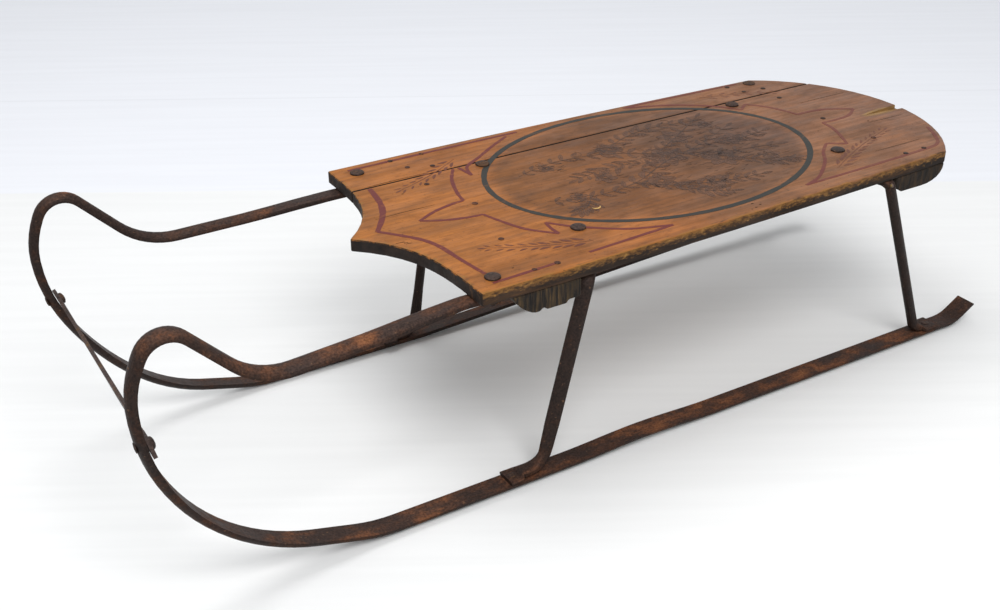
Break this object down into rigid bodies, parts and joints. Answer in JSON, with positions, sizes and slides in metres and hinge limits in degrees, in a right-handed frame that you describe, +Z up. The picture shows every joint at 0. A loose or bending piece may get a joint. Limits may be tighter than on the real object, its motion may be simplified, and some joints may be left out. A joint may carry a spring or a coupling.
{
  "type": "childrens sled",
  "caption": "Child's swan-neck sled with a wooden plank deck held over half-round iron runners by bent bench irons.",
  "frame": {"origin": "on the floor, under the middle of the sled's bounding box", "axes": "+X forward, the way the sled slides, +Y to the rider's left, +Z up"},
  "size_m": [0.8692, 0.288, 0.2397],
  "materials": {
    "deck_wood": "old varnished pine, painted line ornament, dark worn edges",
    "cleat_wood": "dark weathered batten, open end grain",
    "runner_iron": "dark forged iron with orange rust",
    "bench_iron": "dark forged iron with brown rust"
  },
  "bodies": {
    "root": {"deck_board_left": "deck_wood", "deck_board_right": "deck_wood", "cleat_front": "cleat_wood", "cleat_rear": "cleat_wood", "runner_left": "runner_iron", "runner_right": "runner_iron", "bench_iron_front": "bench_iron", "bench_iron_rear": "bench_iron", "spreader_strap": "bench_iron"}
  },
  "joints": []
}
